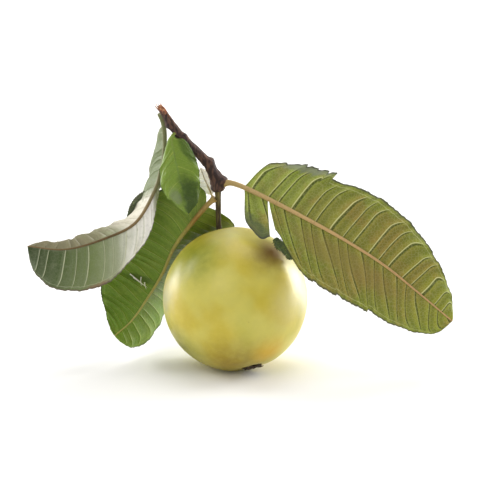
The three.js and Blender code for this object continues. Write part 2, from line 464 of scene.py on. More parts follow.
# ---- the fruit ----
@dataclass(frozen=True)
class Patch:
    """A soft patch of colour on the skin."""

    centre: Point
    radius: float
    colour: str
    strength: float


@dataclass(frozen=True)
class GuavaSkin:
    """Waxy yellow-green skin with soft mottling, fine pores, painted rim highlights, a painted
    reflection on top, and a brown blemish under the leaf flap's painted shadow.
    """

    ripe: str = "c0ae36"
    pale: str = "c8be58"
    unripe: str = "a0a02a"
    mottle: str = "e6d85c"
    pore: str = "dcd072"
    freckle: str = "8c7a30"
    patches: tuple[Patch, ...] = (
        Patch((-15, -12, 51), 19, "707c10", 0.85),
        Patch((-22, -5, 46), 12, "989e34", 0.5),
        Patch((0, -27, 2), 27, "7c6200", 1.0),
        Patch((-25, -12, 9), 22, "6c7000", 0.97),
        Patch((17, -24, 11), 13, "d8a400", 0.9),
        # painted highlight: the paler right side
        Patch((23, -19, 34), 15, "cfc688", 0.6),
        # painted highlight on the left rim
        Patch((-30, -7, 32), 13, "adab92", 0.8),
        # painted highlight on the right rim
        Patch((30, -8, 36), 15, "e4e1c6", 0.8),
        # painted reflection of the bright surround on the top
        Patch((-4, -2, 59), 12, "c6c692", 0.5),
        # olive-brown spread of the blemish, with the leaf flap's painted shadow
        Patch((13, -15, 52), 14, "86741a", 0.85),
    )
    # a brown blemish with the leaf flap's painted shadow over it
    bruise_and_shadow: Patch = Patch((16, -10, 53.6), 12, "5c3e00", 0.95)
    shaded: Patch = Patch((-6, -22, -4), 42, "000000", 0.95)  # where the wax is thin

    @staticmethod
    def _share(board: Board, patch: Patch, wander: Wire) -> Wire:
        """How much of a patch's colour shows."""
        away = board.distance(patch.centre) / patch.radius + wander * 0.3
        return (1 - away.ease(0.0, 1.0)) * patch.strength

    def material(self) -> bpy.types.Material:
        """Builds the skin's material."""
        board = Board("guava_skin")
        wander = board.noise(140, 3) - 0.5
        pores = 1 - board.cells(900, "F1").ease(0.08, 0.2)
        freckles = 1 - board.cells(260, "F1").ease(0.05, 0.09)
        bruise_and_shadow_share = self._share(board, self.bruise_and_shadow, wander)
        dull = self._share(board, self.shaded, wander)
        base = board.over(
            self.ripe, (self.pale, board.noise(45, 2).ease(0.4, 0.62)),
            (self.unripe, board.noise(28, 2, distortion=0.4).ease(0.5, 0.72) * 0.55),
            *((patch.colour, self._share(board, patch, wander)) for patch in self.patches),
            (self.mottle, board.noise(330, 4).ease(0.35, 0.7) * 0.1), (self.pore, pores * 0.16),
            (self.freckle, freckles * board.noise(60).ease(0.55, 0.7) * 0.5),
            (self.bruise_and_shadow.colour, bruise_and_shadow_share))
        height = board.noise(420, 3) * 0.6 + pores * -0.25 + board.noise(110, 2) * 2.2
        gloss = 0.38 + (board.noise(200, 3) - 0.5) * 0.12 + bruise_and_shadow_share * 0.3
        board.set(Base_Color=base, Roughness=gloss, Normal=board.bump(height, 0.12),
                  Subsurface_Weight=0.1, Subsurface_Radius=(1.0, 0.7, 0.25), Subsurface_Scale=0.003,
                  Specular_IOR_Level=0.25,
                  Coat_Weight=(1 - bruise_and_shadow_share) * (1 - dull) * 0.4, Coat_Roughness=0.4)
        return board.material


@dataclass(frozen=True)
class Dimple:
    """A hollow in the fruit, centred on its axis."""

    depth: float
    spread: float


@dataclass
class Fruit:
    """The round fruit, which is dimpled at both ends and rests on a small flat spot."""

    radius: float = 30.4
    taper: float = 0.008
    centre: Point = (0, 0, 29.5)
    stalk_end: Point = (-0.235, 0.375, 0.897)
    stalk_dimple: Dimple = Dimple(1.8, 0.13)
    blossom_dimple: Dimple = Dimple(1.8, 0.17)
    lumps: float = 0.35
    soft: float = 0.25  # how far the resting spot's edge is rounded
    grid: tuple[int, int] = (220, 160)
    skin: GuavaSkin = field(default_factory=GuavaSkin)

    @property
    def axis(self) -> Vector:
        """The direction from the centre to the stalk."""
        return Vector(self.stalk_end).normalized()

    def reach(self, angle: Array | float) -> Array:
        """The radius at an angle from the stalk."""
        taper = 1 - self.taper * (1 - np.cos(angle))
        hollow = self.stalk_dimple.depth * gauss(angle, self.stalk_dimple.spread)
        hollow = hollow + self.blossom_dimple.depth * gauss(math.pi - angle, self.blossom_dimple.spread)
        return self.radius * taper - hollow

    def build(self) -> bpy.types.Object:
        """Makes the fruit."""
        bm = bmesh.new()
        turn = self.axis.to_track_quat("Z", "Y").to_matrix().to_4x4()
        around, down = self.grid
        bmesh.ops.create_uvsphere(bm, u_segments=around, v_segments=down, radius=1, matrix=turn)
        ways = unit(places(bm))
        angle = np.arccos(np.clip(ways @ np.array(self.axis), -1, 1))
        away = self.reach(angle) + self.lumps * rough(ways, 1.6, 2, 4.0) * np.sin(angle)
        place = ways * away[:, None] + np.array(self.centre)
        place[:, 2] = self._flattened(place[:, 2])
        move(bm, place)
        return finish_piece("fruit_body", bm, self.skin.material(), "fruit")

    def _flattened(self, height: Array) -> Array:
        """Heights with those under the resting spot brought up to it, over a soft edge."""
        eased = (height + self.soft) ** 2 / (4 * self.soft) * (height > -self.soft)
        return np.where(height > self.soft, height, eased)


# ---- bark, stalk and the dried flower ----
@dataclass(frozen=True)
class Bark:
    """Dark cracked bark, with fresh torn wood where the attribute says."""

    name: str = "twig_bark"
    dark: str = "2a1a17"
    light: str = "614538"
    ridge: str = "8a6854"
    torn: str = "8c4a33"
    fibre: str = "cf9a6c"

    def material(self) -> bpy.types.Material:
        """Builds the bark's material."""
        board = Board(self.name)
        grain = board.noise(900, 5, board.stretched((0, 0.6, 0), (1.0, 1.0, 0.3)))
        raised = board.stored("raised")
        wood = board.mix(self.torn, self.fibre, board.noise(1500, 3).ease(0.4, 0.65))
        base = board.over(self.dark, (self.light, grain.ease(0.35, 0.68)),
                          (self.ridge, raised.ease(0.35, 1.0) * 0.55),
                          (self.dark, (1 - raised.ease(-0.7, 0.0)) * 0.8), (wood, board.stored("torn")))
        height = grain + board.noise(2600, 3) * 0.5
        board.set(Base_Color=base, Roughness=0.72 + grain * 0.2, Normal=board.bump(height, 0.25))
        return board.material


@dataclass(frozen=True)
class Knot:
    """A swelling on the side of the twig."""

    at: float
    side: Point
    size: float


@dataclass
class Twig:
    """The piece of twig, knobbly where stalks join it and torn at its far end."""

    spine: Spine = Spine(((-7.2, 12.6, 73), (-7.6, 13, 77.2), (-10.6, 12.3, 83.7), (-14, 11.3, 88.4),
                          (-18.8, 10, 93.7), (-24, 8.8, 99.5), (-27.5, 8, 105), (-31.5, 7.5, 111.5)))
    knots: tuple[Knot, ...] = (Knot(0.09, (1, 0, 0.1), 1.5), Knot(0.28, (0.7, 0, 0.7), 1.1),
                               Knot(0.5, (-0.6, -0.5, 0.2), 0.6), Knot(0.63, (0.7, -0.4, 0.4), 0.6),
                               Knot(0.8, (-1, -0.3, -0.3), 1.0))
    splinters: int = 9
    grid: tuple[int, int] = (48, 150)
    narrowed: float = 0.955  # the share of the length from which the end narrows
    torn: tuple[float, float] = (0.93, 0.985)  # where the bark gives way to torn wood
    bark: Bark = field(default_factory=Bark)

    @staticmethod
    def radius(share: Array | float) -> Array:
        """The radius along the twig, with a collar at its foot."""
        knob = 0.7 * gauss(share - 0.07, 0.1)
        return 2.3 - 0.9 * share + knob - 0.55 * gauss(share, 0.015)

    @staticmethod
    def _ridges(share: Array, angle: Array) -> Array:
        """How far the bark's ridges stand out, about -1 to 1."""
        return rough(np.stack([np.cos(angle) * 2.6, np.sin(angle) * 2.6, share * 7], 1), 1.0, 3)

    def _size(self, share: Array, angle: Array) -> Array:
        """Finds the radius with its rings, ridges and knots.

        Args:
            share: Places along the twig.
            angle: Places round it.

        Returns:
            The radius at each place.
        """
        out = outwards(self.spine.at(share)[1], angle)
        rings = 0.12 * np.sin(share * 90) * gauss(share, 0.3)
        size = self.radius(share) + 0.3 * self._ridges(share, angle) + rings
        for knot in self.knots:
            facing = out @ np.array(Vector(knot.side).normalized())
            size = size + knot.size * gauss(share - knot.at, 0.035) * ease(facing, 0.1, 1.0)
        return size * (1 - 0.45 * ease(share, self.narrowed, 1.0))

    def build(self) -> bpy.types.Object:
        """Makes the twig."""
        bm, share, angle = bent_rod(self.spine, self._size, *self.grid)
        ragged = rough(places(bm), 0.9, 3, 2.0)
        torn = ease(share + 0.05 * ragged + 0.06 * np.cos(angle), *self.torn)
        store(bm, raised=self._ridges(share, angle), torn=torn)
        for number in range(self.splinters):
            absorb(bm, self._splinter(number))
        return finish_piece("twig_body", bm, self.bark.material(), "twig")

    def _splinter(self, number: int) -> Mesh:
        """Makes a torn sliver of wood at the far end.

        Args:
            number: Which one it is.

        Returns:
            Its mesh, in millimetres.
        """
        length = 2.2 + 2.6 * abs(math.sin(number * 1.9))
        (end,), (way,) = self.spine.at(np.array([0.97]))
        out = outwards(way, GOLDEN_ANGLE * number)
        start = end + out * 0.7 - way * 1.5
        tip = start + way * length + out * (0.3 + 0.25 * math.sin(number)) * length * 0.4
        bend = (start + tip) / 2 + out * 0.25

        def size(share: Array, angle: Array) -> Array:
            """The radius, flat across and drawn out to the tip."""
            return 0.42 * (1 - 0.88 * share) * (1 + 0.2 * np.cos(2 * angle))

        bm, share, _ = bent_rod(Spine((tuple(start), tuple(bend), tuple(tip)), 20), size, 7, 8)
        store(bm, raised=0.0, torn=0.45 + 0.55 * share)
        return bm


@dataclass
class FruitStalk:
    """The slender stalk that the fruit hangs by, swollen where it enters the dimple."""

    spine: Spine = Spine(((-6.3, 10.2, 54.0), (-7, 12, 60), (-7.1, 12.6, 67), (-7.3, 12.6, 74.6)))
    grid: tuple[int, int] = (32, 70)
    bark: Bark = field(default_factory=lambda: Bark("stalk_bark", "352914", "6e6236", "9a8d55"))

    @staticmethod
    def _size(share: Array, angle: Array) -> Array:
        """The radius, with a swollen foot and low ridges."""
        ridges = np.sin(angle * 5 + share * 3) * 0.05 + np.sin(angle * 9 - share * 5) * 0.03
        return 0.95 + 0.75 * gauss(share, 0.14) + 0.3 * share + 0.35 * gauss(share - 1, 0.12) + ridges

    def build(self) -> bpy.types.Object:
        """Makes the stalk."""
        bm, share, angle = bent_rod(self.spine, self._size, *self.grid)
        raised = np.sin(angle * 5 + share * 3) * 0.6 + ease(share, 0.5, 1.0) - 0.45
        store(bm, raised=raised, torn=0.0)
        return finish_piece("fruit_stalk_body", bm, self.bark.material(), "fruit_stalk")


@dataclass
class Calyx:
    """The dried remains of the flower: a low crown with curled sepals and a few stamens."""

    fruit: Fruit
    radius: float = 3.4
    height: float = 1.5
    sepals: int = 5
    stamens: int = 16
    bark: Bark = field(default_factory=lambda: Bark("dried_flower", "1b120a", "4d3a24", "6d5638"))

    def build(self) -> bpy.types.Object:
        """Makes the calyx."""
        bm = self._crown()
        for number in range(self.sepals):
            absorb(bm, self._sepal(number))
        for number in range(self.stamens):
            absorb(bm, self._stamen(number))
        store(bm, raised=0.2, torn=0.0)
        down = -self.fruit.axis
        seat = Vector(self.fruit.centre) + down * float(self.fruit.reach(math.pi))
        turn = down.to_track_quat("Z", "Y").to_matrix().to_4x4()
        bmesh.ops.transform(bm, matrix=Matrix.Translation(seat) @ turn, verts=bm.verts[:])
        return finish_piece("calyx_body", bm, self.bark.material(), "calyx")

    def _crown(self) -> Mesh:
        """The ring that the sepals stand on, hollowed in the middle."""
        bm = rod(40, 6)
        was = places(bm)
        angle = np.arctan2(was[:, 1], was[:, 0])
        size = self.radius * (0.82 + 0.14 * was[:, 2] + 0.05 * np.sin(angle * 5))
        place = was * np.stack([size, size, np.full(len(was), self.height + 0.9)], 1)
        place[:, 2] += -0.9 + 0.12 * np.sin(angle * 7)
        move(bm, place)
        lid = max(bm.faces, key=lambda f: f.calc_center_median().z)
        bmesh.ops.inset_region(bm, faces=[lid], thickness=0.7, depth=0.15)
        bmesh.ops.inset_region(bm, faces=[lid], thickness=0.4, depth=-0.9)
        return bm

    def _sepal(self, number: int) -> Mesh:
        """Makes a curled sepal.

        Args:
            number: Which one it is.

        Returns:
            Its mesh, in millimetres.
        """
        bm = bmesh.new()
        bmesh.ops.create_grid(bm, x_segments=14, y_segments=8, size=0.5)
        bmesh.ops.solidify(bm, geom=bm.faces[:], thickness=1.0)
        was = places(bm)
        out, across, layer = was[:, 0] + 0.5, was[:, 1] * 2, was[:, 2] + 0.5
        half = 1.9 * np.sqrt(np.clip(1 - out ** 1.6, 0.02, 1))
        rise = self.height * 0.75 + 0.55 * np.sin(out * 2.6 + number) - 0.5 * across ** 2 * (1 - out)
        wrinkle = 0.1 * np.sin(across * 9 + number) * out
        place = np.stack([self.radius * 0.75 + out * 3.1, across * half,
                          rise + wrinkle + layer * 0.38 * (1.15 - out)], 1)
        move(bm, place)
        turn = Matrix.Rotation(math.tau * (number + 0.12 * math.sin(number * 3)) / self.sepals, 4, "Z")
        bmesh.ops.transform(bm, matrix=turn, verts=bm.verts[:])
        return bm

    def _stamen(self, number: int) -> Mesh:
        """Makes a shrivelled thread in the middle.

        Args:
            number: Which one it is.

        Returns:
            Its mesh, in millimetres.
        """
        turn = GOLDEN_ANGLE * number
        out = Vector((math.cos(turn), math.sin(turn), 0))
        start = out * (0.5 + 1.2 * math.sqrt(number / self.stamens)) + Vector((0, 0, 0.3))
        bend = start + out * 0.15 + Vector((0, 0, 0.9))
        tip = bend + Vector((0.35 * math.sin(number * 5), 0.35 * math.cos(number * 3), 0.45))
        spine = Spine((tuple(start), tuple(bend), tuple(tip)), 20)
        return bent_rod(spine, lambda s, a: 0.13 + 0.08 * ease(s, 0.75, 0.95), 6, 6, (1, 0, 0))[0]


# ---- leaves ----
# the third number of the attribute "blade" says which side of a leaf a point is on
TOP, VEINED, THREAD = 0.0, 1.0, 2.0
RIB_GRID, THREAD_GRID = (16, 140), (6, 12)
ARC_STEPS = 12  # how many straight steps a blade's curve is added up from


@dataclass(frozen=True)
class StainAndShade:
    """A soft patch of colour at a place along and across a blade: on some leaves a real discolouring,
    on others painted shade and sheen.
    """

    along: float
    across: float
    run: float
    reach: float
    colour: str
    strength: float = 0.8
    one_half: bool = False  # whether it stops at the midrib


@dataclass(frozen=True)
class LeafFinish:
    """The colours of a leaf: its veined underside along its length, its top, veins and edge."""

    name: str
    under: Stops
    rim: str
    flush: str
    vein: str
    # painted shade: the colour of the shade between the veins, of the shadow lines next to the veins
    # and the midrib, and of the darker random mottling
    hollow: str
    rib: Stops
    edge: str
    top: str = "4c6a22"
    top_vein: str = "93a55a"
    thread: str = "f2f0e0"
    rib_spot: str = "7a5a30"
    flush_share: float = 0.5
    vein_share: float = 0.8
    # how strongly the painted shade between the veins shows
    vein_gap_shade: float = 0.4
    rim_share: float = 0.6
    gloss: float = 0.5
    subsurface: float = 0.0
    rib_shade: float = 0.5
    net_share: float = 0.14
    lower_veins: float = 1.0  # how strongly the veins of the lower half show
    shadow: float = 0.35
    stains_and_shades: tuple[StainAndShade, ...] = ()
    marked_face: float = VEINED  # the face that these patches of colour and painted shade are on

    def material(self) -> bpy.types.Material:
        """Builds the leaf's material."""
        board = Board(self.name)
        length, across, face = board.parts(board.stored("blade", 1))
        reach = abs(across)
        phase = board.stored("phase")
        apart = phase.to_nearest()
        # painted shadow: a dark line on the tip side of each side vein
        vein_shadow_line = 1 - abs(phase.fraction() - 0.1).ease(0.02, 0.1)
        fading = 1 - reach.ease(0.78, 0.97)
        strength = self.lower_veins + (1 - self.lower_veins) * across.ease(-0.01, 0.01)
        vein = (1 - apart.ease(0.012, 0.038)) * fading * strength
        ring = (1 - abs(reach - 0.9).ease(0.004, 0.012)) * 0.35
        net = 1 - board.cells(760).ease(0.02, 0.09)
        blotches = board.noise(85, 3, distortion=0.6)
        mottle = board.noise(600, 4)

        under = board.over(
            board.ramp(length + (blotches - 0.5) * 0.12, self.under),
            (self.rim, reach.ease(0.45, 1.0) * self.rim_share),
            (self.flush, blotches.ease(0.47, 0.66) * self.flush_share),
            # painted shade between the veins, and painted shadow lines next to each vein
            (self.hollow, apart.ease(0.1, 0.46) * self.vein_gap_shade),
            (self.hollow, vein_shadow_line * fading * self.shadow), (self.vein, net * self.net_share),
            (self.vein, (vein + ring).least(1.0) * self.vein_share))
        top = board.over(self.top, (self.rim, mottle.ease(0.4, 0.75) * 0.3),
                         (self.top_vein, (vein * 0.6 + net * 0.12).least(1.0)))
        # darker random mottling, then the midrib's painted shadow next to it
        base = board.over(top, (under, face), (self.hollow, (1 - mottle.ease(0.25, 0.5)) * 0.25),
                          (self.hollow, (1 - reach.ease(0.0, 0.07)) * self.rib_shade))
        shown = 1 - abs(face - self.marked_face) * 0.85
        for mark in self.stains_and_shades:
            lengthways = (length - mark.along) / mark.run
            sideways = (across - mark.across) / mark.reach
            away = lengthways * lengthways + sideways * sideways + (mottle + blotches - 1.0) * 0.8
            share = (1 - away.ease(0.1, 1.0)) * shown * mark.strength
            if mark.one_half:
                share = share * (across * math.copysign(1, mark.across)).ease(-0.01, 0.02)
            base = board.mix(base, mark.colour, share)
        rib_spots = board.noise(900, 3).ease(0.5, 0.75) * 0.35
        rib = board.mix(board.ramp(length, self.rib), self.rib_spot, rib_spots)
        base = board.over(base, (self.edge, reach.ease(0.945, 0.985) * 0.85),
                          (rib, board.stored("rib")), (self.thread, face.ease(1.2, 1.8)))

        height = net * -0.35 + mottle * 0.5 + vein * 0.5
        roughness = self.gloss + (mottle - 0.5) * 0.15
        board.set(Base_Color=base, Roughness=roughness, Normal=board.bump(height, 0.16),
                  Specular_IOR_Level=0.3, Subsurface_Weight=self.subsurface,
                  Subsurface_Radius=(1.0, 0.95, 0.8), Subsurface_Scale=0.002)
        return board.material


@dataclass(frozen=True)
class Half:
    """One half of a blade: its outline, and how it bends away from its veined face."""

    width: float
    widest: float
    full: tuple[float, float]
    lean: float
    swing: Triple = LEVEL
    fold: Triple = LEVEL
    curl: Triple = LEVEL
    ripple: float = 0.5
    quilt: float = 0.3
    hook: float = 0.5  # how far its side veins bend to the tip by the margin, in vein spaces
    slant: float = 0.0  # how far they slant to the tip besides, as a share of the length


@dataclass(frozen=True)
class Tear:
    """A rip from the margin to near the midrib, with a hanging flap on its base side."""

    at: float
    side: int
    left: float
    opened: float
    forward: float
    short: float  # the share of the flap's length that is left


@dataclass(frozen=True)
class Notch:
    """A step in the margin, from which the outline recovers towards the tip."""

    at: float
    side: int
    depth: float  # as a share of the half blade's width
    run: float


@dataclass(frozen=True)
class Fibre:
    """A pale torn thread that lifts off the blade."""

    start: tuple[float, float]
    end: tuple[float, float]
    lift: float


@dataclass
class Leaf:
    """A leaf with its stalk, raised midrib, side veins and rippled margin."""

    node: str
    slot: Slot
    midrib: Spine
    petiole: float
    rib: tuple[float, float]
    facing: tuple[Point, Point, Point]
    upper: Half
    lower: Half
    finish: LeafFinish
    veins: int = 17
    grid: tuple[int, int] = (300, 80)
    thickness: float = 0.36
    ragged: float = 0.22
    start: float = 0.0  # where the blade begins on the midrib
    tear: Tear | None = None
    notches: tuple[Notch, ...] = ()
    fibres: tuple[Fibre, ...] = ()
    scraps: tuple["Leaf", ...] = ()

    def _pick(self, v: Array, get: str) -> Array:
        """A number of the half that each v is on."""
        return np.where(v < 0, getattr(self.lower, get), getattr(self.upper, get))

    def _pick_along(self, v: Array, get: str, s: Array) -> Array:
        """A base, middle and tip quantity of the half that each v is on."""
        return np.where(v < 0, along(getattr(self.lower, get), s), along(getattr(self.upper, get), s))

    def _share(self, u: Array, v: Array) -> Array:
        """How far along the midrib a point lies, as its side vein leans to the tip."""
        lean = self._pick(v, "lean") * np.minimum(1, u / 0.12) * (1 - u) ** 0.7 * np.abs(v) ** 1.3
        return np.clip(u + lean, 0, 1)

    def _width(self, v: Array, u: Array, s: Array) -> Array:
        """The half blade's width, with its serrated and notched margin."""
        widths = []
        for half in (self.lower, self.upper):
            turned = s ** half.widest
            power = np.where(turned < 0.5, half.full[0], half.full[1])
            widths.append(half.width * np.clip(np.sin(np.pi * turned), 0, 1) ** power)
        width = np.where(v < 0, *widths)
        saw = 0.5 * np.sin(u * 231 + 1.3) + 0.3 * np.sin(u * 383 + v * 2) + 0.4 * np.sin(u * 97)
        saw = saw * self.ragged * np.abs(v) ** 4
        return np.maximum(0.35, width + saw)

    def _facing(self, s: Array, tangent: Array) -> Array:
        """Where the veined face looks along the midrib, square to the midrib."""
        facing = unit(np.stack([along(axis, s) for axis in zip(*self.facing)], axis=-1))
        return unit(facing - tangent * np.sum(facing * tangent, axis=1, keepdims=True))

    def _hanging(self, u: Array, v: Array) -> Array:
        """Whether points are on the torn flap."""
        if not self.tear:
            return np.zeros(len(u), bool)
        return (np.sign(v) == self.tear.side) & (u < self.tear.at)

    def _trimmed(self, u: Array, v: Array) -> Array:
        """Places across, once what is missing from the margin is taken off."""
        left = ease(u, self.start * 0.25, self.start * 1.6) if self.start else np.ones(len(u))
        for notch in self.notches:
            past = np.where(u > notch.at, gauss(u - notch.at, notch.run), 0)
            left = left * (1 - np.where(np.sign(v + 1e-9) == notch.side, notch.depth * past, 0))
        if self.tear:
            fuller = self.tear.short * (1.18 - 0.14 * u / self.tear.at)
            fuller = fuller * (1 - 0.16 * ease(u / self.tear.at, 0.72, 1.0))
            left = left * np.where(self._hanging(u, v), fuller, 1)
        return v * left

    def _phase(self, u: Array, v: Array) -> Array:
        """The side veins' count along the blade, a whole number on each vein."""
        offset = np.where(v < 0, 0.45, 0.0)
        wobble = 0.16 * np.sin(u * 41) + 0.03 * np.sin(u * 19 + v * 5)
        hook = self._pick(v, "hook") * ease(np.abs(v), 0.6, 1.05) ** 1.5
        slant = self._pick(v, "slant") * (0.35 + 0.65 * ease(u, 0.2, 0.55)) * np.abs(v)
        return self.veins * (u - slant) + offset + wobble - hook

    def _relief(self, u: Array, v: Array, under: Array) -> Array:
        """Finds how far the surface stands off the smooth blade, towards its veined face.

        Args:
            u: Places from the base to the tip.
            v: Places across, from -1 to 1.
            under: VEINED or TOP for each.

        Returns:
            The heights, in millimetres.
        """
        reach = np.abs(v)
        phase = self._phase(u, v)
        apart = np.abs(phase - np.round(phase))
        fade = ease(reach, 0.02, 0.12) * (1 - ease(reach, 0.8, 1.0)) * ease(u, 0.0, 0.06)
        quilt = self._pick(v, "quilt") * (0.5 - apart * 2) * fade
        ridge = 0.24 * gauss(apart, 0.055) * fade * (1.15 - 0.7 * reach)
        body = self.thickness * (1 - 0.55 * ease(reach, 0.75, 1.0)) / 2
        ripple = self._pick(v, "ripple") * reach ** 3 * (
            np.sin(phase * math.tau * 0.5 + 1.2) + 0.6 * np.sin(u * 23 + np.sign(v) * 1.1))
        return np.where(under > 0.5, body + ridge, -body) + quilt + ripple * ease(u, 0.0, 0.08)

    def surface(self, u: Array, v: Array, under: Array, lift: float = 0.0) -> Array:
        """Where points of the blade are.

        Args:
            u: Their places from the base to the tip, along the side veins.
            v: Their places across, from -1 to 1.
            under: VEINED or TOP for each.
            lift: An extra distance off the blade.

        Returns:
            The points, one row each.
        """
        stand = (self._relief(u, v, under) + lift)[:, None]
        hanging = self._hanging(u, v)
        v = self._trimmed(u, v)
        s = self._share(u, v)
        middle, tangent = self.midrib.at(self.petiole + (1 - self.petiole) * s)
        facing = self._facing(s, tangent)
        swing = self._pick_along(v, "swing", s)
        if self.tear:
            swing = swing + np.where(hanging, self.tear.opened * u / self.tear.at, 0)
        swing = np.radians(swing)[:, None]
        side = np.cross(facing, tangent) * np.where(v < 0, -1, 1)[:, None]
        side = side * np.cos(swing) - tangent * np.sin(swing)
        width = self._width(v, u, s)
        reach, fold, curl = np.abs(v), self._pick_along(v, "fold", s), self._pick_along(v, "curl", s)
        out, back = np.zeros(len(u)), np.zeros(len(u))
        for step in range(ARC_STEPS):
            angle = np.radians(fold + curl * (reach * (step + 0.5) / ARC_STEPS) ** 2)
            out += np.cos(angle) * reach * width / ARC_STEPS
            back += np.sin(angle) * reach * width / ARC_STEPS
        slope = np.radians(fold + curl * reach ** 2)[:, None]
        normal = facing * np.cos(slope) + side * np.sin(slope)
        point = middle + side * out[:, None] - facing * back[:, None] + normal * stand
        if self.tear:
            point = point + facing * (hanging * self.tear.forward * reach ** 2)[:, None]
        return point

    def blade(self) -> Mesh:
        """The blade as a thin closed sheet, cut where it is torn."""
        bm = bmesh.new()
        rows, columns = self.grid
        bmesh.ops.create_grid(bm, x_segments=rows, y_segments=columns, size=0.5)
        if self.tear:
            width = self.lower.width if self.tear.side < 0 else self.upper.width
            slit = [f for f in bm.faces if self._in_slit(f.calc_center_median(), rows, width)]
            bmesh.ops.delete(bm, geom=slit, context="FACES")
        bmesh.ops.solidify(bm, geom=bm.faces[:], thickness=1.0)
        was = places(bm)
        u, spread, under = was[:, 0] + 0.5, was[:, 1] * 2, np.where(was[:, 2] > -0.5, VEINED, TOP)
        v = np.sign(spread) * np.abs(spread) ** 1.2
        u, v = np.clip(u, 0, 1), np.clip(v, -1, 1)
        move(bm, self.surface(u, v, under))
        store(bm, blade=np.stack([u, v, under], 1), phase=self._phase(u, v), rib=0.0)
        return bm

    def _in_slit(self, centre: Vector, rows: int, width: float) -> bool:
        """Whether a face of the flat grid is where the blade is torn."""
        across = centre.y * 2 * self.tear.side
        return abs(centre.x + 0.5 - self.tear.at) < 0.5 / rows and across > self.tear.left / width

    def rib_rod(self) -> Mesh:
        """The leaf stalk, which runs on as the raised midrib."""
        thick, thin = self.rib

        def size(share: Array, angle: Array) -> Array:
            """The radius along it, swollen at the foot."""
            slim = thick + (thin * 0.5 - thick) * share ** 0.8
            return slim * (1 + 0.04 * np.sin(angle * 6)) + 0.5 * gauss(share, 0.02)

        bm, share, _ = bent_rod(self.midrib, size, *RIB_GRID, self.facing[1])
        s = np.clip((share - self.petiole) / (1 - self.petiole), 0, 1)
        stand = 0.55 * thick * (1 - 0.6 * share) * ease(share, self.petiole * 0.5, self.petiole * 1.6)
        move(bm, places(bm) + self._facing(s, self.midrib.at(share)[1]) * stand[:, None])
        blade = np.stack([s, np.zeros(len(s)), np.full(len(s), VEINED)], 1)
        store(bm, blade=blade, phase=0.5, rib=1.0)
        return bm

    def fibre_rod(self, fibre: Fibre) -> Mesh:
        """Makes a torn thread on the veined face.

        Args:
            fibre: Where it runs.

        Returns:
            Its mesh, in millimetres.
        """
        shares = np.linspace(0, 1, 5)
        u, v = (start + (end - start) * shares for start, end in zip(fibre.start, fibre.end))
        line = self.surface(u, v, np.full(len(u), VEINED), 0.1)
        line += np.array(self.facing[1]) * (np.sin(shares * math.pi) * fibre.lift)[:, None]
        bm, share, _ = bent_rod(Spine(tuple(map(tuple, line)), 40),
                                lambda s, a: 0.26 * (1.1 - s), *THREAD_GRID, (1, 0, 0))
        store(bm, blade=np.tile([fibre.start[0], 0.0, THREAD], (len(share), 1)), phase=0.0, rib=0.0)
        return bm

    def build(self) -> bpy.types.Object:
        """Makes the leaf, with its scraps in the same piece."""
        bm = self.blade()
        absorb(bm, self.rib_rod())
        for fibre in self.fibres:
            absorb(bm, self.fibre_rod(fibre))
        for scrap in self.scraps:
            absorb(bm, scrap.blade())
        return finish_piece(f"{self.node}_body", bm, self.finish.material(), self.node)


def right_leaf() -> Leaf:
    """The large olive leaf, which shows its veined underside and is torn near its base."""
    finish = LeafFinish(
        name="olive_underside",
        under=((0.0, "98a53e"), (0.14, "93a03c"), (0.3, "908f36"), (0.65, "8f8832"), (1.0, "93992c")),
        rim="84962a", flush="9c7a3c", vein="dfdd9c", hollow="454f12",
        rib=((0.0, "b59a63"), (0.3, "c6a56e"), (1.0, "bb9260")), edge="45463a",
        top="3f4c2e", gloss=0.52, lower_veins=0.3, shadow=0.95, flush_share=0.45,
        stains_and_shades=(StainAndShade(0.16, 0.97, 0.13, 0.2, "7c8268"), StainAndShade(0.08, -1.0, 0.07, 0.4, "4f5a3a"),
                StainAndShade(0.5, -0.35, 0.35, 0.3, "8e7640", 0.4)))
    upper = Half(24.6, 0.8, (0.55, 0.58), 0.07, (12, 0, 0), (10, 12, 14), (25, 15, 10), 0.45, 0.34, 0.6)
    lower = Half(22, 0.88, (0.6, 0.32), 0.18, LEVEL, (-12, -3, 6), (-6, 6, 10), 0.5, 0.5, 0.15, 0.09)
    scrap = Leaf(
        "leaf_right", Slot.RIGHT_LEAF,
        Spine(((17, -5.6, 58.3), (18.7, -7.4, 55.7), (21.4, -8.8, 53), (23.7, -9.7, 50))),
        0.0, (0.0, 0.0), (TOWARDS_BACK,) * 3, Half(2.4, 0.7, (0.4, 0.5), 0.1, fold=(20, 25, 20)),
        Half(2.2, 0.9, (0.5, 0.5), 0.1, fold=(-20, -10, -20)), finish, veins=3, grid=(60, 20),
        thickness=0.3, ragged=0.8)
    return Leaf(
        "leaf_right", Slot.RIGHT_LEAF,
        Spine(((-5, 12.5, 76.5), (-2, 10.5, 77.2), (2.5, 7, 76.8), (16, 0.5, 72), (29.5, -4, 66),
               (43, -6.5, 59), (61.5, -7, 47), (76.5, -7, 34.5), (90.5, -4.5, 21.5))),
        0.08, (1.2, 0.5), (TOWARDS_FRONT,) * 3, upper, lower, finish, veins=18,
        start=0.03, tear=Tear(0.125, -1, 3, 14, 5, 0.86),
        notches=(Notch(0.27, 1, 0.15, 0.12), Notch(0.62, -1, 0.06, 0.05), Notch(0.125, -1, 0.42, 0.07),
                 Notch(0.09, 1, 0.035, 0.015), Notch(0.15, 1, 0.05, 0.012), Notch(0.19, 1, 0.04, 0.02),
                 Notch(0.235, 1, 0.06, 0.012), Notch(0.3, -1, 0.03, 0.02),
                 Notch(0.43, -1, 0.035, 0.02)),
        scraps=(scrap,))


